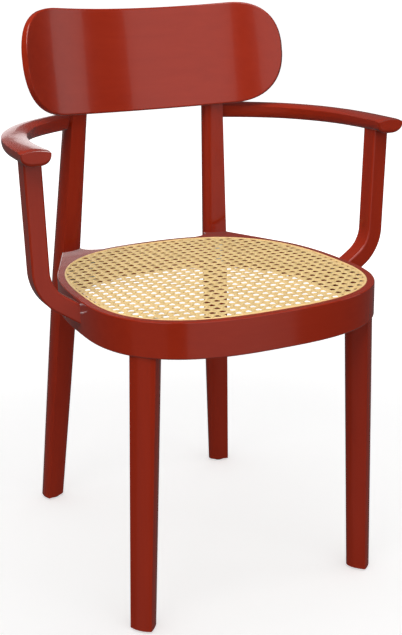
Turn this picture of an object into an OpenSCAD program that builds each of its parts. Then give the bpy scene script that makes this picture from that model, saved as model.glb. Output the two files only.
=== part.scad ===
// Bentwood armchair: a closed bent seat ring with a woven cane seat, four tapered
// legs, a curved back panel fixed in front of the rear legs, and two armrests on
// bent posts. Millimetres, +Z up, the sitter looks towards -Y, X = 0 is the plane
// of symmetry and the origin is on the floor at the middle of the bounding box.

/* [Seat] */

// Height of the top of the seat ring above the floor
seat_height = 460; // [420:1:500]
// Height of the bent ring
ring_height = 50; // [35:1:65]
// Thickness of the bent ring, edge groove included
ring_thickness = 17.5; // [15:0.5:24]
// Width of the plain rim outside the edge spline
rim_width = 11; // [8:0.5:16]
// Half of the width of the woven field at its widest
seat_half_width = 203; // [180:1:230]
// Depth of the woven field in front of its widest line
seat_front_depth = 175; // [150:1:200]
// Depth of the woven field behind its widest line
seat_rear_depth = 252; // [220:1:280]
// How square the front of the seat is (2 is an ellipse)
front_fullness = 2.7; // [2:0.05:4]
// How square the rear of the seat is (2 is an ellipse)
rear_fullness = 2.62; // [2:0.05:4]

/* [Legs] */

// Width of a front leg at the floor
front_leg_width_foot = 33; // [24:0.5:42]
// Width of a front leg under the ring
front_leg_width_top = 38; // [28:0.5:48]
// Depth of a front leg at the floor
front_leg_depth_foot = 31; // [22:0.5:40]
// Depth of a front leg under the ring
front_leg_depth_top = 35; // [26:0.5:44]
// Width of a rear leg at the floor
rear_leg_width_foot = 28; // [22:0.5:38]
// Width of a rear leg beside the seat
rear_leg_width_seat = 34; // [26:0.5:44]
// Width of a rear leg under the back panel
rear_leg_width_top = 30; // [20:0.5:40]
// Height of the top end of the rear legs
rear_leg_height = 806; // [740:1:830]
// Height of a plastic glide under each leg
glide_height = 3; // [2:0.5:8]
// Radius of a plastic glide
glide_radius = 11; // [8:0.5:13]

/* [Back panel] */

// Height of the top of the back panel above the floor
back_height = 835; // [780:1:900]
// Height of the back panel, measured up its slope
panel_height = 156; // [120:1:200]
// Length of the back panel along its curve
panel_length = 450; // [380:1:520]
// Radius of the curve of the front of the back panel
panel_bend_radius = 314; // [240:1:600]
// Thickness of the back panel
panel_thickness = 10; // [7:0.5:16]
// Backward slope of the back panel in degrees
panel_slope = 9; // [0:0.5:16]

/* [Arms] */

// Height of the top of an armrest at its front end
arm_height = 668; // [620:1:720]
// Rise of the armrest from its front end to the rear leg
arm_rise = 7; // [0:0.5:15]
// Thickness of an armrest over the post
arm_thickness = 17; // [12:0.5:26]
// Width of an armrest over the post
arm_width_front = 41; // [30:0.5:60]
// Width of an armrest at the rear leg
arm_width_rear = 20; // [14:0.5:34]
// Distance of the middle of a post from the plane of symmetry
post_reach = 264.5; // [240:0.5:290]
// Width of a post
post_width = 24.5; // [16:0.5:40]
// Thickness of a post
post_thickness = 28.5; // [12:0.5:34]
// Radius of the bend at the foot of a post
post_bend_radius = 57; // [40:1:80]
// Angle that the post turns through at its foot, in degrees
post_bend_angle = 56; // [40:1:80]

/* [Hidden] */

$fn = 48;

lacquer = [0.55, 0.13, 0.08];
cane = [0.91, 0.78, 0.56];
steel = [0.62, 0.63, 0.65];
beech = [0.80, 0.66, 0.46];
black_plastic = [0.08, 0.08, 0.08];

// The chair is laid out with the widest line of the seat near Y = 0, and moved
// forward by this much so that the bounding box is centred on the origin.
depth_centre = 50.2;

// Fits between pieces
hair = 0.1;

// Seat
ring_bottom = seat_height - ring_height;
widest_y = -36;
groove_width = 4;
groove_depth = 8;
cane_thickness = 1.5;
cane_edge_thickness = 1;
spline_proud = 0.6;
edge_bevel = 1.8;
outline_step = 3;
tongue_top = seat_height - groove_depth;

// Housing pads on the ring for the rear legs
pad_leaves_ring = 42;
pad_joins_ring = 72;
pad_outer = [145.5, 231];
pad_inner = [110.5, 242];
pad_inner_root = [108.5, 233];
pad_fillet_corner = [105, 223];

// Front leg: crest line, and the direction of its broad outer face
front_crest_foot = [178, -163];
front_crest_top = [162, -175.5];
front_face_turn = 49;

// Rear leg: middle line from the floor to the lower edge of the back panel
rear_foot = [164.3, 309.4];
rear_knee = [115.9, 213.1];
rear_knee_height = 677;
rear_face_turn = 81;
rear_top = [107, 233];
rear_depth_foot = 33;
rear_depth_seat = 38;
rear_depth_knee = 31;
rear_depth_top = 24;

// Screws, bolts and dowels
screw_radius = 2;
screw_head_radius = 4;
bolt_radius = 3;
bolt_head_radius = 5;
bolt_head_height = 6;
washer_radius = 7;
washer_height = 1.5;
insert_radius = 4.5;
insert_length = 18;
bolt_length = 64;
hex_radius = 2.9;
hex_depth = 3;
dowel_radius = 4.5;

// ---------------------------------------------------------------- outlines

function mix(a, b, t) = a + (b - a) * t;

function turn(p, angle) = [
    p[0] * cos(angle) - p[1] * sin(angle),
    p[0] * sin(angle) + p[1] * cos(angle)];

function curve(a, b, c, t) = mix(mix(a, b, t), mix(b, c, t), t);

// A cosine or sine raised to a power: 1 gives a circle, less gives squarer shoulders
function rounded(value, power) = sign(value) * pow(abs(value), power);

// Smooth curve through a list of points, t from 0 to 1
function through(points, t) = let(
    last = len(points) - 1,
    i = min(last - 1, floor(t * last)),
    u = t * last - i,
    a = points[max(0, i - 1)],
    b = points[i],
    c = points[i + 1],
    d = points[min(last, i + 2)])
    b + u / 2 * (c - a + u * (2 * a - 5 * b + 4 * c - d + u * (3 * (b - c) + d - a)));

function half_depth(angle) = angle < 0 ? seat_front_depth : seat_rear_depth;

function fullness(angle) = angle < 0 ? front_fullness : rear_fullness;

function seat_radius(angle) = pow(
    pow(abs(cos(angle)) / seat_half_width, fullness(angle))
    + pow(abs(sin(angle)) / half_depth(angle), fullness(angle)), -1 / fullness(angle));

function seat_normal(angle) = let(
    r = seat_radius(angle),
    nx = pow(r * abs(cos(angle)) / seat_half_width, fullness(angle) - 1) / seat_half_width,
    ny = pow(r * abs(sin(angle)) / half_depth(angle), fullness(angle) - 1)
        / half_depth(angle) * sign(angle))
    [nx, ny] / norm([nx, ny]);

function seat_point(angle, outward) =
    seat_radius(angle) * [cos(angle), sin(angle)] + [0, widest_y]
    + outward * seat_normal(angle);

function both_halves(half) = concat(half, [
    for (i = [len(half) - 2:-1:1]) [-half[i][0], half[i][1]]]);

function seat_outline(outward) = both_halves([
    for (angle = [-90:outline_step:90]) seat_point(angle, outward)]);

// Outer outline of the ring: the parallel curve, led out to the two rear pads
function ring_outline(inset) = both_halves(concat(
    [for (angle = [-90:outline_step:pad_leaves_ring]) seat_point(angle, rim_width - inset)],
    [pad_outer + [-inset, -inset / 2], pad_inner + [inset, -inset / 2]],
    [for (t = [0:0.2:0.8]) curve(pad_inner_root, pad_fillet_corner,
        seat_point(pad_joins_ring, rim_width), t) + [inset / 2, -inset]],
    [for (angle = [pad_joins_ring:outline_step:90]) seat_point(angle, rim_width - inset)]));

// Leg section: a broad outer face with two crisp corners and a rounded inner side.
// The first corner is at the origin and the outer face runs along +X.
leg_crown_share = 0.1;
leg_roundness = 0.8;
leg_round_step = 7.5;

function leg_section(width, depth) = let(crown = width * leg_crown_share) concat(
    [for (i = [-1:0.25:1]) [width / 2 * (1 + i), -crown * (1 - i * i)]],
    [for (a = [leg_round_step:leg_round_step:180 - leg_round_step]) [
        width / 2 * (1 + rounded(cos(a), leg_roundness)),
        depth * rounded(sin(a), leg_roundness)]]);

function raise(outline, origin, angle, z) = [
    for (p = outline) let(q = turn(p, angle) + origin) [q[0], q[1], z]];

// Solid through a list of closed outlines that have the same number of points
module loft(outlines) {
    n = len(outlines[0]);
    last = len(outlines) - 1;
    polyhedron(
        points = [for (outline = outlines) each outline],
        faces = concat(
            [[for (j = [0:n - 1]) j]],
            [for (i = [0:last - 1], j = [0:n - 1]) [
                i * n + j, (i + 1) * n + j, (i + 1) * n + (j + 1) % n]],
            [for (i = [0:last - 1], j = [0:n - 1]) [
                i * n + j, (i + 1) * n + (j + 1) % n, i * n + (j + 1) % n]],
            [[for (j = [n - 1:-1:0]) last * n + j]]),
        convexity = 6);
}

module centred() translate([0, -depth_centre, 0]) children();

module pair() {
    children();
    mirror([1, 0, 0]) children();
}

// ---------------------------------------------------------------- fasteners

slot_length = 4.4;
slot_width = 1;
slot_depth = 1.4;

module countersunk_screw(length) {
    head = screw_head_radius - screw_radius;
    difference() {
        union() {
            cylinder(r = screw_radius, h = length);
            translate([0, 0, length - head])
                cylinder(r1 = screw_radius, r2 = screw_head_radius, h = head);
        }
        for (angle = [0, 90]) rotate(angle)
            translate([-slot_length / 2, -slot_width / 2, length - slot_depth])
                cube([slot_length, slot_width, slot_depth + 1]);
    }
}

driver_room = 12;

module screw_hole(length) {
    head = screw_head_radius - screw_radius;
    translate([0, 0, -hair]) cylinder(r = screw_radius + hair, h = length + hair);
    translate([0, 0, length - head])
        cylinder(r1 = screw_radius + hair, r2 = screw_head_radius + hair, h = head);
    translate([0, 0, length]) cylinder(r = screw_head_radius + hair, h = driver_room);
}

module toward(point, direction) {
    flat = norm([direction[0], direction[1]]);
    translate(point)
        rotate([0, atan2(flat, direction[2]), atan2(direction[1], direction[0])])
            children();
}

// ---------------------------------------------------------------- front legs

function front_crest(z) = mix(front_crest_foot, front_crest_top, z / ring_bottom);

function front_section(z) = let(t = min(1, z / ring_bottom)) leg_section(
    mix(front_leg_width_foot, front_leg_width_top, t),
    mix(front_leg_depth_foot, front_leg_depth_top, t));

module front_leg_blank() loft([
    for (z = [glide_height, ring_bottom / 2, ring_bottom, tongue_top])
        raise(front_section(z), front_crest(z), front_face_turn, z)]);

// Screws drive outwards from the tongue into the ring
front_screw_length = 26;
front_screw_depth = 4.5;
front_screw_heights = [13, 30];

module at_front_screws() {
    outward = turn([0, -1], front_face_turn);
    for (height = front_screw_heights) {
        face = front_crest(ring_bottom + height) + turn([front_leg_width_top / 2, 0], front_face_turn);
        tip = face - front_screw_depth * outward;
        toward([tip[0], tip[1], ring_bottom + height], [-outward[0], -outward[1], 0]) children();
    }
}

module front_leg() difference() {
    front_leg_blank();
    translate([0, 0, ring_bottom]) linear_extrude(ring_height) difference() {
        square(600, center = true);
        polygon(seat_outline(rim_width - ring_thickness));
    }
    at_front_screws() screw_hole(front_screw_length);
    at_glide(front_crest(0) + turn([front_leg_width_foot, front_leg_depth_foot] / 2,
        front_face_turn)) glide_pin(hair);
}

// ---------------------------------------------------------------- rear legs

// The middle line of a rear leg passes this share of the depth behind the outer face
rear_middle_share = 0.45;
rear_seat_height = ring_bottom + 10;
rear_width_end = 22;
rear_foot_swell = 0.6;
rear_top_bow = [0, 1.5];

function rear_section(width, depth) = [
    for (p = leg_section(width, depth)) p - [width / 2, depth * rear_middle_share]];

module rear_leg_blank() {
    seat = mix(rear_foot, rear_knee, rear_seat_height / rear_knee_height);
    loft([
        for (cut = [
            [rear_leg_width_foot, rear_depth_foot, rear_foot, glide_height],
            [mix(rear_leg_width_foot, rear_leg_width_seat, rear_foot_swell),
                mix(rear_depth_foot, rear_depth_seat, rear_foot_swell),
                mix(rear_foot, seat, 0.5), rear_seat_height / 2],
            [rear_leg_width_seat, rear_depth_seat, seat, rear_seat_height],
            [rear_leg_width_top, rear_depth_knee, rear_knee, rear_knee_height],
            [mix(rear_leg_width_top, rear_width_end, 0.5),
                mix(rear_depth_knee, rear_depth_top, 0.5),
                mix(rear_knee, rear_top, 0.45) + rear_top_bow,
                mix(rear_knee_height, rear_leg_height, 0.5)],
            [rear_width_end, rear_depth_top, rear_top, rear_leg_height]])
            raise(rear_section(cut[0], cut[1]), cut[2], rear_face_turn, cut[3])]);
}

// Bolts run from inside the ring through the pad into a threaded sleeve in the leg
bolt_direction = [pad_outer[1] - pad_inner[1], pad_inner[0] - pad_outer[0]]
    / -norm(pad_outer - pad_inner);
pad_middle = (pad_outer + pad_inner) / 2;
bolt_head_back = 47;
rear_bolt_heights = [14, 34];
insert_setback = 2;
bolt_slack = 0.5;
bolt_recess = 20;

module at_rear_bolts() {
    under_head = pad_middle - bolt_head_back * bolt_direction;
    for (height = rear_bolt_heights)
        toward([under_head[0], under_head[1], ring_bottom + height],
            [bolt_direction[0], bolt_direction[1], 0])
            children();
}

module at_inserts() at_rear_bolts()
    translate([0, 0, bolt_head_back + insert_setback]) children();

module rear_leg() difference() {
    rear_leg_blank();
    translate([0, 0, ring_bottom]) linear_extrude(ring_height) polygon(ring_outline(0));
    back_panel_space();
    at_rear_bolts() cylinder(r = bolt_radius + bolt_slack, h = bolt_length + 3);
    at_inserts() translate([0, 0, -bolt_slack])
        cylinder(r = insert_radius, h = insert_length + bolt_slack);
    at_back_screws() screw_hole(back_screw_length);
    at_arm_dowel() cylinder(r = dowel_radius, h = arm_dowel_length);
    at_glide(rear_foot) glide_pin(hair);
}

// ---------------------------------------------------------------- seat

module seat_ring_solid() difference() {
    loft([
        for (step = [[0, edge_bevel], [edge_bevel, 0],
            [ring_height - edge_bevel, 0], [ring_height - edge_bevel * 0.3, edge_bevel * 0.3],
            [ring_height, edge_bevel]])
            raise(ring_outline(step[1]), [0, 0], 0, ring_bottom + step[0])]);
    translate([0, 0, ring_bottom - 1]) linear_extrude(ring_height + 2)
        polygon(seat_outline(rim_width - ring_thickness));
    translate([0, 0, seat_height - groove_depth]) linear_extrude(groove_depth + 1)
        difference() {
            polygon(seat_outline(0));
            polygon(seat_outline(-groove_width));
        }
    translate([0, 0, seat_height - cane_thickness]) linear_extrude(cane_thickness + 1)
        polygon(seat_outline(-1));
    pair() {
        at_front_screws() screw_hole(front_screw_length);
        at_rear_bolts() {
            cylinder(r = bolt_radius + bolt_slack, h = bolt_length);
            translate([0, 0, -bolt_recess])
                cylinder(r = washer_radius + bolt_slack, h = bolt_recess);
        }
        at_post_screws() screw_hole(post_screw_length);
    }
}

module cane_panel_solid()
    translate([0, 0, seat_height - cane_thickness]) linear_extrude(cane_thickness)
        polygon(seat_outline(-groove_width + cane_edge_thickness));

// The ends of the weave, turned down into the groove inside the spline
module cane_edge_solid() translate([0, 0, seat_height - groove_depth])
    linear_extrude(groove_depth - cane_thickness) difference() {
        polygon(seat_outline(-groove_width + cane_edge_thickness));
        polygon(seat_outline(-groove_width));
    }

module cane_spline_solid() translate([0, 0, seat_height - groove_depth]) {
    linear_extrude(groove_depth) difference() {
        polygon(seat_outline(0));
        polygon(seat_outline(-groove_width + cane_edge_thickness));
    }
    translate([0, 0, groove_depth]) linear_extrude(spline_proud) difference() {
        polygon(seat_outline(-spline_proud));
        polygon(seat_outline(-groove_width + cane_edge_thickness + spline_proud));
    }
}

// ---------------------------------------------------------------- back panel

panel_columns = 56;
panel_end_length = 83;
panel_edge_round = 2.5;
panel_end_fullness = 2.4;
panel_front_y = 222;
panel_middle_z = back_height - panel_height / 2 * cos(panel_slope) - 5;

function panel_point(s, v, back) = let(
    a = s / panel_bend_radius * 180 / PI,
    r = panel_bend_radius + back,
    y = r * cos(a) - panel_bend_radius)
    [r * sin(a),
     panel_front_y + y * cos(panel_slope) + v * sin(panel_slope),
     panel_middle_z - y * sin(panel_slope) + v * cos(panel_slope)];

function panel_half_height(s) = let(
    run = max(0, abs(s) - (panel_length / 2 - panel_end_length)) / panel_end_length)
    panel_height / 2 * pow(max(0.004, 1 - pow(run, panel_end_fullness)), 1 / panel_end_fullness);

// A cut across the panel: a tall rectangle with rounded corners
function panel_column(s) = let(
    h = panel_half_height(s),
    round = min(panel_edge_round, h / 2),
    middle = [0, panel_thickness / 2],
    corner = [h - round, panel_thickness / 2 - round])
    [for (quarter = [3:-1:0], a = [90:-30:0]) let(
        turned = a + 90 * quarter,
        p = middle + [rounded(cos(90 * quarter + 45), 0) * corner[0],
            rounded(sin(90 * quarter + 45), 0) * corner[1]]
            + round * [cos(turned), sin(turned)])
        panel_point(s, p[0], p[1])];

function panel_stations() = [
    for (i = [0:panel_columns]) -panel_length / 2 * cos(180 * i / panel_columns)];

module back_panel_solid() difference() {
    loft([for (s = panel_stations()) panel_column(s * 0.999)]);
    pair() at_back_screws() screw_hole(back_screw_length);
}

// Everything in front of the rear face of the panel
space_reach = 200;
space_step = 20;
space_forward = 30;
space_below = 3;

module back_panel_space() loft([
    for (s = [space_reach:-space_step:-space_reach]) let(
        low = -panel_height / 2 - space_below,
        high = panel_height / 2 + space_forward)
        [for (p = [[low, -space_forward], [high, -space_forward],
            [high, panel_thickness], [low, panel_thickness]]) panel_point(s, p[0], p[1])]]);

// Screws enter the rear of the legs and stop inside the panel
back_screw_length = 28;
back_screw_s = 118;
back_screw_heights = [-32, 22];
back_screw_tip = 3;

module at_back_screws() for (v = back_screw_heights) {
    tip = panel_point(back_screw_s, v, back_screw_tip);
    ahead = panel_point(back_screw_s, v, back_screw_tip + 1);
    toward(tip, ahead - tip) children();
}

// ---------------------------------------------------------------- arms

// Inner edge of the armrest in plan, from the front end to the rear leg
arm_edge = [
    [248, -62.6], [248.5, -25], [247.5, 18], [241, 60], [226, 103], [200, 146],
    [162, 181], [118, 208]];

function arm_side(t) = let(
    a = through(arm_edge, max(0, t - 0.01)),
    b = through(arm_edge, min(1, t + 0.01)),
    d = (b - a) / norm(b - a)) [d[1], -d[0]];

// Arm section: low crowned top tilted inwards towards the rear, rounded underside
arm_steps = 36;
arm_deepening = 5;
arm_rear_tilt = 11;
arm_end_round = 6;
arm_end_narrowing = 0.15;
arm_top_crown = 3;
arm_top_columns = 8;
arm_nose_drop = 1.5;
arm_nose_share = 0.07;
arm_side_fullness = 0.75;
arm_belly_fullness = 0.7;

// The section at t, with its underside raised by lift and its sides drawn in by half
// of narrowing
function arm_ring(t, lift = 0, narrowing = 0) = let(
    width = mix(arm_width_front, arm_width_rear, pow(t, 1.5)) - narrowing,
    side = arm_side(t),
    start = through(arm_edge, t) + narrowing / 2 * side,
    tilt = arm_rear_tilt * pow(t, 1.2),
    nose = pow(max(0, 1 - t / arm_nose_share), 2),
    top = arm_height + arm_rise * pow(t, 1.5) - arm_nose_drop * nose,
    thick = arm_thickness + arm_deepening * t - lift,
    profile = concat([for (i = [0:arm_top_columns]) let(across = 2 * i / arm_top_columns - 1)
        [width / 2 * (1 + across), arm_top_crown * (1 - across * across)]], [
        for (a = [12:12:168]) [
            width / 2 * (1 + rounded(cos(a), arm_side_fullness)),
            -thick * rounded(sin(a), arm_belly_fullness)]]))
    [for (p = profile) let(
        across = p[0] * cos(tilt) - p[1] * sin(tilt),
        up = p[0] * sin(tilt) + p[1] * cos(tilt),
        q = start + across * side)
        [q[0], q[1], top + up]];

// The front end, where the underside rounds up to meet the end grain
function arm_end_ring(angle) = let(lift = arm_end_round * (1 - cos(angle)))
    [for (p = arm_ring(0, lift, 2 * arm_end_narrowing * lift))
        p - [0, arm_end_round * sin(angle), 0]];

module armrest_blank() loft(concat(
    [for (angle = [90:-22.5:22.5]) arm_end_ring(angle)],
    [for (i = [0:arm_steps]) arm_ring(i / arm_steps)]));

module armrest() difference() {
    armrest_blank();
    rear_leg_blank();
    at_post_dowel() cylinder(r = dowel_radius, h = post_dowel_length);
    at_arm_dowel() cylinder(r = dowel_radius, h = arm_dowel_length);
}

// Dowel between the rear end of the armrest and the leg, along the end of the armrest
arm_dowel_length = 34;
arm_dowel_in_leg = 6;
arm_dowel_middle = [121, 217, 664.5];
arm_dowel_direction = [0.85, -0.52, -0.03];

module at_arm_dowel() toward(arm_dowel_middle, arm_dowel_direction)
    translate([0, 0, -arm_dowel_in_leg]) children();

// ---------------------------------------------------------------- arm posts

post_y = -27.5;
post_lean = 4;
post_spread = 3;
post_bend_start = seat_height + 45;
post_corner_round = 3;
post_tail = 44;
post_in_arm = 6;

post_section = [
    for (quarter = [0:3], a = [0:15:90]) let(
        corner = [post_width / 2 - post_corner_round, post_thickness / 2 - post_corner_round],
        side = [quarter == 0 || quarter == 3 ? 1 : -1, quarter < 2 ? 1 : -1])
        [side[0] * corner[0] + post_corner_round * cos(a + 90 * quarter),
            side[1] * corner[1] + post_corner_round * sin(a + 90 * quarter)]];

// A section across the post: where it is and how far it has turned inwards
function post_ring(x, z, angle, forward = 0) = [
    for (p = post_section) [
        x + p[0] * cos(angle), post_y - forward + p[1], z - p[0] * sin(angle)]];

post_bend_steps = 12;

module arm_post_blank() {
    end_x = post_reach - post_bend_radius * (1 - cos(post_bend_angle));
    end_z = post_bend_start - post_bend_radius * sin(post_bend_angle);
    loft(concat(
        [post_ring(end_x - post_tail * sin(post_bend_angle),
            end_z - post_tail * cos(post_bend_angle), post_bend_angle)],
        [for (i = [post_bend_steps:-1:0]) let(a = post_bend_angle * i / post_bend_steps)
            post_ring(post_reach - post_bend_radius * (1 - cos(a)),
                post_bend_start - post_bend_radius * sin(a), a)],
        [post_ring(post_reach + post_spread, arm_height - post_in_arm, 0, post_lean)]));
}

// Dowel between the post and the armrest
post_dowel_length = 34;

module at_post_dowel()
    translate([post_reach + post_spread, post_y - post_lean,
        arm_height - post_in_arm - post_dowel_length])
        children();

// Screws drive outwards from inside the ring into the foot of the post
post_screw_length = 33;
post_screw_heights = [27, 39];
post_screw_tip = [231, post_y + 1];

module at_post_screws() for (height = post_screw_heights)
    toward([post_screw_tip[0], post_screw_tip[1], ring_bottom + height], [-1, 0, 0])
        children();

module arm_post() difference() {
    arm_post_blank();
    armrest_blank();
    translate([0, 0, ring_bottom - 10]) linear_extrude(ring_height + 20)
        polygon(ring_outline(0));
    at_post_screws() screw_hole(post_screw_length);
    at_post_dowel() cylinder(r = dowel_radius, h = post_dowel_length);
}

// ---------------------------------------------------------------- glides

glide_pin_radius = 2.5;
glide_pin_length = 14;

module at_glide(middle) translate([middle[0], middle[1], 0]) children();

module glide_pin(clearance) translate([0, 0, glide_height - 1])
    cylinder(r = glide_pin_radius + clearance, h = glide_pin_length + 1 + clearance);

module glide() {
    rotate_extrude() polygon([
        [0, 0], [glide_radius - 1, 0], [glide_radius, 1], [glide_radius, glide_height],
        [0, glide_height]]);
    glide_pin(0);
}

// ---------------------------------------------------------------- nodes

module seat_ring() color(lacquer) centred() seat_ring_solid();
module cane_panel() color(cane) centred() cane_panel_solid();
module cane_edge() color(cane) centred() cane_edge_solid();
module cane_spline() color(cane) centred() cane_spline_solid();
module front_leg_left() color(lacquer) centred() mirror([1, 0, 0]) front_leg();
module front_leg_right() color(lacquer) centred() front_leg();
module rear_leg_left() color(lacquer) centred() mirror([1, 0, 0]) rear_leg();
module rear_leg_right() color(lacquer) centred() rear_leg();
module back_panel() color(lacquer) centred() back_panel_solid();
module armrest_left() color(lacquer) centred() mirror([1, 0, 0]) armrest();
module armrest_right() color(lacquer) centred() armrest();
module arm_post_left() color(lacquer) centred() mirror([1, 0, 0]) arm_post();
module arm_post_right() color(lacquer) centred() arm_post();

module front_leg_screws() color(steel) centred() pair()
    at_front_screws() countersunk_screw(front_screw_length);

module rear_leg_bolts() color(steel) centred() pair() at_rear_bolts() {
    cylinder(r = bolt_radius - hair, h = bolt_length);
    translate([0, 0, -washer_height - bolt_head_height]) difference() {
        cylinder(r = bolt_head_radius, h = bolt_head_height);
        translate([0, 0, -1]) cylinder(r = hex_radius, h = hex_depth + 1, $fn = 6);
    }
    translate([0, 0, -washer_height]) cylinder(r = bolt_radius - hair, h = washer_height);
}

module rear_leg_washers() color(steel) centred() pair() at_rear_bolts()
    translate([0, 0, -washer_height]) difference() {
        cylinder(r = washer_radius, h = washer_height);
        translate([0, 0, -1]) cylinder(r = bolt_radius, h = washer_height + 2);
    }

module rear_leg_inserts() color(steel) centred() pair() at_inserts() difference() {
    cylinder(r = insert_radius, h = insert_length);
    translate([0, 0, -1]) cylinder(r = bolt_radius, h = insert_length + 2);
}

module back_screws() color(steel) centred() pair()
    at_back_screws() countersunk_screw(back_screw_length);

module post_screws() color(steel) centred() pair()
    at_post_screws() countersunk_screw(post_screw_length);

module arm_post_dowels() color(beech) centred() pair()
    at_post_dowel() cylinder(r = dowel_radius, h = post_dowel_length);

module arm_leg_dowels() color(beech) centred() pair()
    at_arm_dowel() cylinder(r = dowel_radius, h = arm_dowel_length);

module leg_glides() color(black_plastic) centred() pair() {
    at_glide(front_crest(0) + turn([front_leg_width_foot, front_leg_depth_foot] / 2,
        front_face_turn)) glide();
    at_glide(rear_foot) glide();
}

seat_ring();
cane_panel();
cane_edge();
cane_spline();
front_leg_left();
front_leg_right();
rear_leg_left();
rear_leg_right();
back_panel();
armrest_left();
armrest_right();
arm_post_left();
arm_post_right();
front_leg_screws();
rear_leg_bolts();
rear_leg_washers();
rear_leg_inserts();
back_screws();
post_screws();
arm_post_dowels();
arm_leg_dowels();
leg_glides();
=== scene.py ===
import math

import bmesh
import bpy
from mathutils import Matrix, Vector


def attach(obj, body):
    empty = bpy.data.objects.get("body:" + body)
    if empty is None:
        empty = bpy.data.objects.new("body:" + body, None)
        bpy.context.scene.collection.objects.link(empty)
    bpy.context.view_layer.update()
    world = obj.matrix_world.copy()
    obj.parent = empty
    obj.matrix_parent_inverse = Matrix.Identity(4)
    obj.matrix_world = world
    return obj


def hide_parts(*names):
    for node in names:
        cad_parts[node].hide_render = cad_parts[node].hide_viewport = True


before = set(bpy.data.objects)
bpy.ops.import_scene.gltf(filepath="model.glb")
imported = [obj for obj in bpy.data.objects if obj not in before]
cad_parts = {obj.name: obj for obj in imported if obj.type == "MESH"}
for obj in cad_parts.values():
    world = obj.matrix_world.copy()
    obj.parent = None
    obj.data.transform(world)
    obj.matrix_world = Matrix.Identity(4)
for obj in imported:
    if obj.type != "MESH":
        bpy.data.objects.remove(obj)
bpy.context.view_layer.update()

scene = bpy.context.scene

# Seat ring. One long strip of beech, steamed, bent round and glued into a closed
# ring, with two housing pads left thick for the rear legs. Sanded, stained red and
# sprayed with clear gloss lacquer, edges broken by hand.


def red_lacquer(name, grain_axis):
    """Stained beech under gloss lacquer; the grain runs along grain_axis."""
    finish = bpy.data.materials.new(name)
    finish.use_nodes = True
    nodes = finish.node_tree.nodes
    links = finish.node_tree.links
    shader = nodes["Principled BSDF"]
    shader.inputs["IOR"].default_value = 1.36
    shader.inputs["Coat Weight"].default_value = 0.4
    shader.inputs["Coat IOR"].default_value = 1.38
    shader.inputs["Coat Roughness"].default_value = 0.07
    place = nodes.new("ShaderNodeTexCoord")

    lay = nodes.new("ShaderNodeMapping")
    stretch = [95.0, 95.0, 95.0]
    stretch["XYZ".index(grain_axis)] = 4.0
    lay.inputs["Scale"].default_value = stretch
    links.new(place.outputs["Object"], lay.inputs["Vector"])
    grain = nodes.new("ShaderNodeTexNoise")
    grain.inputs["Scale"].default_value = 1.0
    grain.inputs["Detail"].default_value = 6.0
    grain.inputs["Roughness"].default_value = 0.6
    grain.inputs["Distortion"].default_value = 0.4
    links.new(lay.outputs["Vector"], grain.inputs["Vector"])

    cloud = nodes.new("ShaderNodeTexNoise")
    cloud.inputs["Scale"].default_value = 7.0
    cloud.inputs["Detail"].default_value = 3.0
    links.new(place.outputs["Object"], cloud.inputs["Vector"])

    stain = nodes.new("ShaderNodeValToRGB")
    stain.color_ramp.elements[0].position = 0.25
    stain.color_ramp.elements[0].color = (0.268, 0.0160, 0.0030, 1.0)
    stain.color_ramp.elements[1].position = 0.75
    stain.color_ramp.elements[1].color = (0.300, 0.0192, 0.0040, 1.0)
    links.new(grain.outputs["Fac"], stain.inputs["Fac"])
    depth = nodes.new("ShaderNodeValToRGB")
    depth.color_ramp.elements[0].position = 0.3
    depth.color_ramp.elements[0].color = (0.95, 0.93, 0.92, 1.0)
    depth.color_ramp.elements[1].position = 0.7
    depth.color_ramp.elements[1].color = (1.0, 1.0, 1.0, 1.0)
    links.new(cloud.outputs["Fac"], depth.inputs["Fac"])
    blend = nodes.new("ShaderNodeMix")
    blend.data_type = "RGBA"
    blend.blend_type = "MULTIPLY"
    blend.inputs["Factor"].default_value = 1.0
    links.new(stain.outputs["Color"], blend.inputs["A"])
    links.new(depth.outputs["Color"], blend.inputs["B"])
    links.new(blend.outputs["Result"], shader.inputs["Base Color"])

    sheen = nodes.new("ShaderNodeMapRange")
    sheen.inputs["To Min"].default_value = 0.16
    sheen.inputs["To Max"].default_value = 0.24
    links.new(cloud.outputs["Fac"], sheen.inputs["Value"])
    links.new(sheen.outputs["Result"], shader.inputs["Roughness"])

    flow = nodes.new("ShaderNodeTexNoise")
    flow.inputs["Scale"].default_value = 28.0
    flow.inputs["Detail"].default_value = 1.0
    links.new(place.outputs["Object"], flow.inputs["Vector"])
    wave = nodes.new("ShaderNodeBump")
    wave.inputs["Strength"].default_value = 0.15
    wave.inputs["Distance"].default_value = 0.0008
    links.new(flow.outputs["Fac"], wave.inputs["Height"])
    pores = nodes.new("ShaderNodeBump")
    pores.inputs["Strength"].default_value = 0.02
    pores.inputs["Distance"].default_value = 0.0003
    links.new(grain.outputs["Fac"], pores.inputs["Height"])
    links.new(wave.outputs["Normal"], pores.inputs["Normal"])
    links.new(pores.outputs["Normal"], shader.inputs["Normal"])
    links.new(wave.outputs["Normal"], shader.inputs["Coat Normal"])
    return finish


WOOD_MERGE = 0.00002
FLAT_WITHIN = math.radians(0.7)
EDGE_CREASE = math.radians(36.0)


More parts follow.
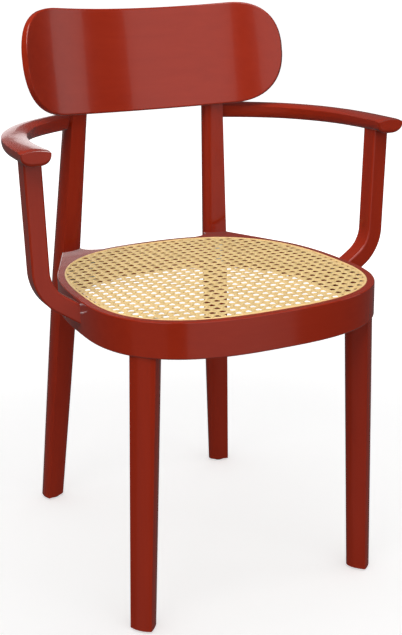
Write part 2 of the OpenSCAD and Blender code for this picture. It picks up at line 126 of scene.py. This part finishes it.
def turned_wood(name, node, finish):
    """A wooden piece sanded smooth from its cut blank."""
    bm = bmesh.new()
    bm.from_mesh(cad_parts[node].data)
    bmesh.ops.remove_doubles(bm, verts=bm.verts, dist=WOOD_MERGE)
    bmesh.ops.dissolve_degenerate(bm, edges=bm.edges, dist=WOOD_MERGE)
    bmesh.ops.dissolve_limit(
        bm, angle_limit=FLAT_WITHIN, verts=bm.verts, edges=bm.edges)
    mesh = bpy.data.meshes.new(name)
    bm.to_mesh(mesh)
    bm.free()
    if "custom_normal" in mesh.attributes:
        mesh.attributes.remove(mesh.attributes["custom_normal"])
    for face in mesh.polygons:
        face.use_smooth = True
    mesh.set_sharp_from_angle(angle=EDGE_CREASE)
    piece = bpy.data.objects.new(name, mesh)
    scene.collection.objects.link(piece)
    mesh.materials.append(finish)
    even = piece.modifiers.new("even", "WEIGHTED_NORMAL")
    even.keep_sharp = True
    piece.visible_glossy = False
    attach(piece, "root")
    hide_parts(node)
    return piece


bent_lacquer = red_lacquer("lacquer_bent", "X")
turned_wood("ring_of_the_seat", "seat_ring", bent_lacquer)

# Legs. Four solid beech legs, flat outside and rounded inside, tapering to the
# floor; the rear pair run on up to carry the back. Same stain and lacquer, with
# the grain up the leg.

leg_lacquer = red_lacquer("lacquer_legs", "Z")
for side in ("left", "right"):
    turned_wood("leg_front_" + side, "front_leg_" + side, leg_lacquer)
    turned_wood("leg_rear_" + side, "rear_leg_" + side, leg_lacquer)

# Back panel. A bent plywood shell with rounded ends, screwed to the front of the
# rear legs from behind. The grain runs across.

turned_wood("panel_of_the_back", "back_panel", bent_lacquer)

# Armrests and posts. Bent beech; each post grows out of the side of the ring and
# carries its armrest, which is glued and dowelled to the rear leg.

arm_lacquer = red_lacquer("lacquer_arms", "Y")
for side in ("left", "right"):
    turned_wood("rest_" + side, "armrest_" + side, arm_lacquer)
    turned_wood("post_" + side, "arm_post_" + side, leg_lacquer)

# Woven cane seat. Split rattan strands woven in the seven-step octagon pattern:
# pairs running front to back and side to side, and single strands on each
# diagonal. Each strand is a flat strip with a rounded, shiny skin side.

SEAT_HALF_WIDTH = 0.203
SEAT_FRONT = 0.175
SEAT_REAR = 0.252
SEAT_WIDEST_Y = -0.0862
FRONT_SQUARENESS = 2.7
REAR_SQUARENESS = 2.62
SEAT_TOP = 0.460


def past_edge(x, y, inset):
    """More than 1 outside the seat's outline drawn in by inset."""
    reach = SEAT_FRONT if y < SEAT_WIDEST_Y else SEAT_REAR
    power = FRONT_SQUARENESS if y < SEAT_WIDEST_Y else REAR_SQUARENESS
    across = abs(x) / (SEAT_HALF_WIDTH - inset)
    along = abs(y - SEAT_WIDEST_Y) / (reach - inset)
    return across ** power + along ** power


def cane_skin(name, turn):
    """Natural cane, its fibres along the strand turned by the angle turn."""
    finish = bpy.data.materials.new(name)
    finish.use_nodes = True
    nodes = finish.node_tree.nodes
    links = finish.node_tree.links
    shader = nodes["Principled BSDF"]
    shader.inputs["IOR"].default_value = 1.5
    shader.inputs["Sheen Weight"].default_value = 0.05
    place = nodes.new("ShaderNodeTexCoord")
    lay = nodes.new("ShaderNodeMapping")
    lay.inputs["Rotation"].default_value = (0.0, 0.0, turn)
    links.new(place.outputs["Object"], lay.inputs["Vector"])
    draw = nodes.new("ShaderNodeMapping")
    draw.inputs["Scale"].default_value = (9.0, 420.0, 60.0)
    links.new(lay.outputs["Vector"], draw.inputs["Vector"])
    strand_tone = nodes.new("ShaderNodeTexNoise")
    strand_tone.inputs["Scale"].default_value = 1.0
    strand_tone.inputs["Detail"].default_value = 2.0
    links.new(draw.outputs["Vector"], strand_tone.inputs["Vector"])
    straw = nodes.new("ShaderNodeValToRGB")
    straw.color_ramp.elements[0].position = 0.28
    straw.color_ramp.elements[0].color = (0.67, 0.465, 0.185, 1.0)
    straw.color_ramp.elements[1].position = 0.62
    straw.color_ramp.elements[1].color = (0.78, 0.565, 0.25, 1.0)
    links.new(strand_tone.outputs["Fac"], straw.inputs["Fac"])
    links.new(straw.outputs["Color"], shader.inputs["Base Color"])
    fibre_lay = nodes.new("ShaderNodeMapping")
    fibre_lay.inputs["Scale"].default_value = (120.0, 4200.0, 120.0)
    links.new(lay.outputs["Vector"], fibre_lay.inputs["Vector"])
    fibre = nodes.new("ShaderNodeTexNoise")
    fibre.inputs["Scale"].default_value = 1.0
    fibre.inputs["Detail"].default_value = 2.0
    links.new(fibre_lay.outputs["Vector"], fibre.inputs["Vector"])
    relief = nodes.new("ShaderNodeBump")
    relief.inputs["Strength"].default_value = 0.35
    relief.inputs["Distance"].default_value = 0.0002
    links.new(fibre.outputs["Fac"], relief.inputs["Height"])
    links.new(relief.outputs["Normal"], shader.inputs["Normal"])
    shine = nodes.new("ShaderNodeMapRange")
    shine.inputs["To Min"].default_value = 0.42
    shine.inputs["To Max"].default_value = 0.55
    links.new(fibre.outputs["Fac"], shine.inputs["Value"])
    links.new(shine.outputs["Result"], shader.inputs["Roughness"])
    return finish


CROSS_PITCH = 0.01477
LONG_PITCH = 0.01541
CROSS_START = 0.0
LONG_START = -0.2370
PAIR_HALF = 0.0017
STRAND_WIDTH = 0.0029
STRAND_THICKNESS = 0.0004
WEAVE_MIDDLE = SEAT_TOP - 0.0008
STRAND_CROWN = 0.00015
STRAND_MERGE = 0.00004
TRIM_HALVINGS = 14
SPLINE_COVER = 0.0018


def lay_strand(bm, start, direction, stations):
    """One strand: stations are (distance along, height) pairs."""
    count = len(stations) - 1
    strip = bmesh.ops.create_grid(bm, x_segments=count, y_segments=2, size=1.0)["verts"]
    side = Vector((-direction.y, direction.x))
    ends = [start + direction * stations[0][0], start + direction * stations[-1][0]]
    middle = (ends[0] + ends[1]) / 2
    for vert in strip:
        step = round((vert.co.x + 1.0) / 2.0 * count)
        lean = round(vert.co.y)
        distance, height = stations[step]
        spot = start + direction * distance + side * (lean * STRAND_WIDTH / 2)
        if past_edge(spot.x, spot.y, SPLINE_COVER) > 1.0:
            inside = middle + side * (lean * STRAND_WIDTH / 2)
            outside = spot
            for halving in range(TRIM_HALVINGS):
                between = (inside + outside) / 2
                if past_edge(between.x, between.y, SPLINE_COVER) > 1.0:
                    outside = between
                else:
                    inside = between
            spot = inside
        crown = STRAND_CROWN * (1 - lean * lean)
        vert.co = (spot.x, spot.y, WEAVE_MIDDLE + height + crown)


def cane_layer(name, strands, turn, nodes_replaced=()):
    """A layer of like strands, given as (start, direction, stations)."""
    bm = bmesh.new()
    for start, direction, stations in strands:
        lay_strand(bm, start, direction, stations)
    bmesh.ops.remove_doubles(bm, verts=bm.verts, dist=STRAND_MERGE)
    bmesh.ops.dissolve_degenerate(bm, edges=bm.edges, dist=STRAND_MERGE)
    bmesh.ops.recalc_face_normals(bm, faces=bm.faces)
    if sum(face.normal.z for face in bm.faces) < 0:
        bmesh.ops.reverse_faces(bm, faces=bm.faces)
    mesh = bpy.data.meshes.new(name)
    bm.to_mesh(mesh)
    bm.free()
    for face in mesh.polygons:
        face.use_smooth = True
    piece = bpy.data.objects.new(name, mesh)
    scene.collection.objects.link(piece)
    mesh.materials.append(cane_skin(name + "_skin", turn))
    body = piece.modifiers.new("strand thickness", "SOLIDIFY")
    body.thickness = STRAND_THICKNESS
    body.offset = -1.0
    piece.visible_glossy = False
    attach(piece, "root")
    for node in nodes_replaced:
        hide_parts(node)
    return piece


SEARCH_STEPS = 200


def strand_inside(start, direction, reach):
    """The stretch of a line that lies inside the seat's outline."""
    marks = [-reach + 2 * reach * step / SEARCH_STEPS for step in range(SEARCH_STEPS + 1)]
    held = []
    for mark in marks:
        spot = start + direction * mark
        if past_edge(spot.x, spot.y, SPLINE_COVER) < 1.0:
            held.append(mark)
    return held


PAIR_WAVE = 0.0002
PAIR_REACH = 0.27
PAIR_LINES = range(-32, 60)
SHORTEST_PAIR = 6
pair_strands = {"long": [], "cross": []}
for way, pitch, own_start, other_pitch, other_start in (
        ("long", CROSS_PITCH, CROSS_START, LONG_PITCH, LONG_START),
        ("cross", LONG_PITCH, LONG_START, CROSS_PITCH, CROSS_START)):
    direction = Vector((0.0, 1.0)) if way == "long" else Vector((1.0, 0.0))
    for line in PAIR_LINES:
        for twin in (-1, 1):
            offset = own_start + line * pitch + twin * PAIR_HALF
            start = Vector((offset, SEAT_WIDEST_Y)) if way == "long" else Vector((0.0, offset))
            held = strand_inside(start, direction, PAIR_REACH)
            if len(held) < SHORTEST_PAIR:
                continue
            base = SEAT_WIDEST_Y if way == "long" else 0.0
            first = math.floor((held[0] + base - other_start) / other_pitch) - 1
            last = math.ceil((held[-1] + base - other_start) / other_pitch) + 1
            lift = twin if way == "long" else -twin
            stations = []
            for crossing in range(first, last + 1):
                at = other_start + crossing * other_pitch - base
                stations.append((at - PAIR_HALF, -lift * PAIR_WAVE))
                stations.append((at + PAIR_HALF, lift * PAIR_WAVE))
                stations.append((at + other_pitch / 2, 0.0))
            pair_strands[way].append((start, direction, stations))

cane_layer(
    "cane_strands_long", pair_strands["long"], -math.pi / 2, ("cane_panel", "cane_edge"))
cane_layer("cane_strands_cross", pair_strands["cross"], 0.0)

DIAGONAL_WAVE = 0.0005
DIAGONAL_REACH = 0.32
DIAGONAL_LINES = range(-60, 60)
DIAGONAL_MIDDLE = LONG_START + LONG_PITCH * 12.5
SHORTEST_DIAGONAL = 4
for name, slope in (("cane_strands_rising", 1), ("cane_strands_falling", -1)):
    step = Vector((CROSS_PITCH, slope * LONG_PITCH))
    direction = step.normalized()
    strands = []
    for line in DIAGONAL_LINES:
        start = Vector((CROSS_START + line * CROSS_PITCH, DIAGONAL_MIDDLE))
        held = strand_inside(start, direction, DIAGONAL_REACH)
        if len(held) < SHORTEST_DIAGONAL:
            continue
        first = math.floor(held[0] / step.length) - 1
        last = math.ceil(held[-1] / step.length) + 1
        stations = []
        for cell in range(first, last + 1):
            for quarter, height in ((-0.125, 1), (0.125, 1), (0.375, -1), (0.625, -1)):
                rise = height * slope * DIAGONAL_WAVE
                stations.append(((cell + quarter) * step.length, rise))
        strands.append((start, direction, stations))
    cane_layer(name, strands, -math.atan2(direction.y, direction.x))

# Cane spline. A round reed soaked and hammered into the groove over the ends of
# the weave; it stands just proud of the ring.


def outline_spot(angle, outward):
    """A point on the seat's outline moved outward along its normal."""
    reach = SEAT_FRONT if math.sin(angle) < 0 else SEAT_REAR
    power = FRONT_SQUARENESS if math.sin(angle) < 0 else REAR_SQUARENESS
    across = abs(math.cos(angle)) / SEAT_HALF_WIDTH
    along = abs(math.sin(angle)) / reach
    radius = (across ** power + along ** power) ** (-1 / power)
    normal = Vector((
        math.copysign((radius * across) ** (power - 1) / SEAT_HALF_WIDTH, math.cos(angle)),
        math.copysign((radius * along) ** (power - 1) / reach, math.sin(angle))))
    normal.normalize()
    spot = Vector((radius * math.cos(angle), radius * math.sin(angle) + SEAT_WIDEST_Y))
    return spot + normal * outward


REED_STEPS = 240
REED_PROFILE = ((0.0, -0.006), (0.0, -0.0002), (-0.0005, 0.0004), (-0.0016, 0.0008),
                (-0.0027, 0.0004), (-0.0032, -0.0004), (-0.0032, -0.006))
bm = bmesh.new()
row = bmesh.ops.create_circle(bm, segments=REED_STEPS, radius=1.0)["verts"]
for number, (outward, height) in enumerate(REED_PROFILE):
    if number > 0:
        edges = [edge for edge in bm.edges if all(vert in set(row) for vert in edge.verts)]
        grown = bmesh.ops.extrude_edge_only(bm, edges=edges)["geom"]
        row = [item for item in grown if isinstance(item, bmesh.types.BMVert)]
    if number == 0:
        angles = {vert: math.atan2(vert.co.y, vert.co.x) for vert in row}
    else:
        angles = {vert: min(
            last_angles.items(), key=lambda pair: (pair[0].co - vert.co).length)[1]
            for vert in row}
    for vert in row:
        spot = outline_spot(angles[vert], outward)
        vert.co = (spot.x, spot.y, SEAT_TOP + height)
    last_angles = angles
loose_ends = [edge for edge in bm.edges if edge.is_boundary]
bmesh.ops.bridge_loops(bm, edges=loose_ends)
bmesh.ops.recalc_face_normals(bm, faces=bm.faces)
mesh = bpy.data.meshes.new("cane_border_reed")
bm.to_mesh(mesh)
bm.free()
for face in mesh.polygons:
    face.use_smooth = True
mesh.set_sharp_from_angle(angle=math.radians(60))
reed = bpy.data.objects.new("cane_border_reed", mesh)
scene.collection.objects.link(reed)
mesh.materials.append(cane_skin("reed_skin", 0.0))
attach(reed, "root")
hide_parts("cane_spline")

# Screws, bolts, washers, inserts, dowels and glides. Plated steel, beech and
# moulded nylon. They keep their cut shapes and get their finishes here.


def plain_finish(name, colours, roughness, metallic, scale, stretch=(1.0, 1.0, 1.0)):
    """A fine-grained finish between two colours and two roughnesses."""
    finish = bpy.data.materials.new(name)
    finish.use_nodes = True
    nodes = finish.node_tree.nodes
    links = finish.node_tree.links
    shader = nodes["Principled BSDF"]
    shader.inputs["Metallic"].default_value = metallic
    place = nodes.new("ShaderNodeTexCoord")
    lay = nodes.new("ShaderNodeMapping")
    lay.inputs["Scale"].default_value = [scale * amount for amount in stretch]
    links.new(place.outputs["Object"], lay.inputs["Vector"])
    grain = nodes.new("ShaderNodeTexNoise")
    grain.inputs["Scale"].default_value = 1.0
    grain.inputs["Detail"].default_value = 4.0
    links.new(lay.outputs["Vector"], grain.inputs["Vector"])
    tone = nodes.new("ShaderNodeValToRGB")
    tone.color_ramp.elements[0].position = 0.3
    tone.color_ramp.elements[0].color = (*colours[0], 1.0)
    tone.color_ramp.elements[1].position = 0.7
    tone.color_ramp.elements[1].color = (*colours[1], 1.0)
    links.new(grain.outputs["Fac"], tone.inputs["Fac"])
    links.new(tone.outputs["Color"], shader.inputs["Base Color"])
    rough = nodes.new("ShaderNodeMapRange")
    rough.inputs["To Min"].default_value = roughness[0]
    rough.inputs["To Max"].default_value = roughness[1]
    links.new(grain.outputs["Fac"], rough.inputs["Value"])
    links.new(rough.outputs["Result"], shader.inputs["Roughness"])
    relief = nodes.new("ShaderNodeBump")
    relief.inputs["Strength"].default_value = 0.2
    relief.inputs["Distance"].default_value = 0.0001
    links.new(grain.outputs["Fac"], relief.inputs["Height"])
    links.new(relief.outputs["Normal"], shader.inputs["Normal"])
    return finish


zinc = plain_finish("zinc_plate", ((0.50, 0.50, 0.52), (0.66, 0.66, 0.67)), (0.25, 0.42), 1.0, 900.0)
dowel_beech = plain_finish(
    "dowel_beech", ((0.52, 0.34, 0.17), (0.68, 0.49, 0.28)), (0.55, 0.7), 0.0, 120.0, (1.0, 1.0, 0.1))
nylon = plain_finish("black_nylon", ((0.012, 0.012, 0.013), (0.03, 0.03, 0.032)), (0.4, 0.6), 0.0, 1500.0)
for node, finish in (
        ("front_leg_screws", zinc), ("rear_leg_bolts", zinc), ("rear_leg_washers", zinc),
        ("rear_leg_inserts", zinc), ("back_screws", zinc), ("post_screws", zinc),
        ("arm_post_dowels", dowel_beech), ("arm_leg_dowels", dowel_beech),
        ("leg_glides", nylon)):
    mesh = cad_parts[node].data
    if len(mesh.materials) == 0:
        mesh.materials.append(finish)
    for number in range(len(mesh.materials)):
        mesh.materials[number] = finish

# Studio. A white paper floor that curves up far behind, one large soft key high in
# front, broad soft panels round the chair for the gloss to pick up, and soft fills
# above, behind and below that only lighten the colour.

FLOOR_RADIUS = 12.0
bm = bmesh.new()
bmesh.ops.create_circle(
    bm, cap_ends=True, cap_tris=True, segments=96, radius=FLOOR_RADIUS)
rim = [edge for edge in bm.edges if edge.is_boundary]
for widen, rise in ((1.10, 0.4), (1.08, 1.2), (1.04, 2.5), (1.0, 8.0)):
    grown = bmesh.ops.extrude_edge_only(bm, edges=rim)["geom"]
    rim = [item for item in grown if isinstance(item, bmesh.types.BMEdge)]
    rim_verts = [item for item in grown if isinstance(item, bmesh.types.BMVert)]
    bmesh.ops.scale(bm, verts=rim_verts, vec=(widen, widen, 1.0))
    bmesh.ops.translate(bm, verts=rim_verts, vec=(0.0, 0.0, rise))
mesh = bpy.data.meshes.new("studio_floor")
bm.to_mesh(mesh)
bm.free()
floor = bpy.data.objects.new("studio_floor", mesh)
scene.collection.objects.link(floor)
floor.visible_glossy = False
floor.visible_diffuse = False
floor.visible_shadow = False
paper = bpy.data.materials.new("floor_paper")
paper.use_nodes = True
nodes = paper.node_tree.nodes
links = paper.node_tree.links
place = nodes.new("ShaderNodeTexCoord")
mottle = nodes.new("ShaderNodeTexNoise")
mottle.inputs["Scale"].default_value = 3.0
links.new(place.outputs["Object"], mottle.inputs["Vector"])
tone = nodes.new("ShaderNodeValToRGB")
tone.color_ramp.elements[0].color = (0.78, 0.78, 0.78, 1.0)
tone.color_ramp.elements[1].color = (0.82, 0.82, 0.82, 1.0)
links.new(mottle.outputs["Fac"], tone.inputs["Fac"])
links.new(tone.outputs["Color"], nodes["Principled BSDF"].inputs["Base Color"])
nodes["Principled BSDF"].inputs["Roughness"].default_value = 0.9
nodes["Principled BSDF"].inputs["Specular IOR Level"].default_value = 0.0
nodes["Principled BSDF"].inputs["Emission Color"].default_value = (1.0, 1.0, 1.0, 1.0)
away = nodes.new("ShaderNodeVectorMath")
away.operation = "LENGTH"
links.new(place.outputs["Object"], away.inputs[0])
fade = nodes.new("ShaderNodeMapRange")
fade.interpolation_type = "SMOOTHSTEP"
fade.inputs["From Min"].default_value = 0.55
fade.inputs["From Max"].default_value = 2.0
fade.inputs["To Min"].default_value = 0.505
fade.inputs["To Max"].default_value = 1.0
links.new(away.outputs["Value"], fade.inputs["Value"])
links.new(fade.outputs["Result"], nodes["Principled BSDF"].inputs["Emission Strength"])
mesh.materials.append(paper)
# The key passes the floor by, and the wash lights only the floor, so that the
# feet have small soft shadows and the seat casts none.
floor_left_out = bpy.data.collections.new("floor_left_out")
floor_left_out.objects.link(floor)
floor_left_out.collection_objects[0].light_linking.link_state = "EXCLUDE"
floor_lit = bpy.data.collections.new("floor_lit")
floor_lit.objects.link(floor)
floor_lit.collection_objects[0].light_linking.link_state = "INCLUDE"

sky = bpy.data.worlds.new("studio")
scene.world = sky
sky.use_nodes = True
sky.node_tree.nodes["Background"].inputs["Color"].default_value = (1.0, 1.0, 1.0, 1.0)
sky.node_tree.nodes["Background"].inputs["Strength"].default_value = 0.095


def soft_panel(name, bearing, middle_height, distance, width, tall, brightness):
    """A soft light on a bearing in degrees from the chair's front, right positive."""
    lamp = bpy.data.lights.new(name, "AREA")
    lamp.shape = "RECTANGLE"
    lamp.size = width
    lamp.size_y = tall
    lamp.energy = brightness * math.pi * width * tall
    holder = bpy.data.objects.new(name, lamp)
    scene.collection.objects.link(holder)
    holder.visible_camera = False
    turn = math.radians(bearing)
    spot = Vector((math.sin(turn) * distance, -math.cos(turn) * distance, middle_height))
    holder.location = spot
    aim = Vector((0.0, 0.0, 0.6))
    holder.rotation_euler = (aim - spot).to_track_quat("-Z", "Y").to_euler()
    return holder


key = soft_panel("key_high", -48.0, 3.4, 1.7, 2.6, 2.6, 5.4)
key.light_linking.receiver_collection = floor_left_out
soft_panel("panel_front", 2.5, 1.9, 5.0, 5.6, 3.4, 1.15)
soft_panel("panel_left", -57.0, 1.9, 5.0, 3.2, 3.4, 1.15)
soft_panel("panel_right", 69.0, 1.9, 5.0, 1.95, 3.4, 1.15)
soft_panel("panel_rear", 182.0, 1.0, 5.0, 4.2, 1.4, 1.15)
soft_panel("low_front", 2.5, -1.4, 5.0, 5.2, 3.2, 0.5)
soft_panel("low_left", -65.0, -1.7, 5.0, 4.0, 3.0, 0.12)
fill = soft_panel("fill_right", 42.0, 1.2, 4.0, 3.0, 3.0, 0.46)
fill.visible_glossy = False
fill_rear = soft_panel("fill_rear", 168.0, 2.0, 3.4, 3.4, 3.0, 1.7)
fill_rear.visible_glossy = False
fill_rear.light_linking.receiver_collection = floor_left_out
fill_top = soft_panel("fill_top", 0.0, 2.5, 0.0, 2.0, 2.0, 1.1)
fill_top.visible_glossy = False
fill_top.light_linking.receiver_collection = floor_left_out
bounce = soft_panel("floor_bounce", 0.0, -0.7, 0.0, 2.4, 2.4, 0.30)
bounce.visible_glossy = False
bounce.light_linking.receiver_collection = floor_left_out
wash = soft_panel("floor_wash", 0.0, 2.6, 0.0, 6.0, 6.0, 0.62)
wash.light_linking.receiver_collection = floor_lit

# Camera. A long lens at standing height, a little to the left of the chair.

lens = bpy.data.cameras.new("camera")
lens.lens = 60.82
lens.sensor_width = 36.0
lens.sensor_fit = "AUTO"
lens.clip_end = 200.0
camera = bpy.data.objects.new("camera", lens)
scene.collection.objects.link(camera)
CAMERA_SPOT = (-0.6643, -1.416664, 0.872247)
CAMERA_BEARING = math.radians(-25.4825)
CAMERA_TILT = math.radians(90.0 - 17.5671)
CAMERA_ROLL = math.radians(-1.27426)
camera.matrix_world = (
    Matrix.Translation(CAMERA_SPOT) @ Matrix.Rotation(CAMERA_BEARING, 4, "Z")
    @ Matrix.Rotation(CAMERA_TILT, 4, "X") @ Matrix.Rotation(CAMERA_ROLL, 4, "Z"))
scene.camera = camera
scene.view_settings.view_transform = "Standard"
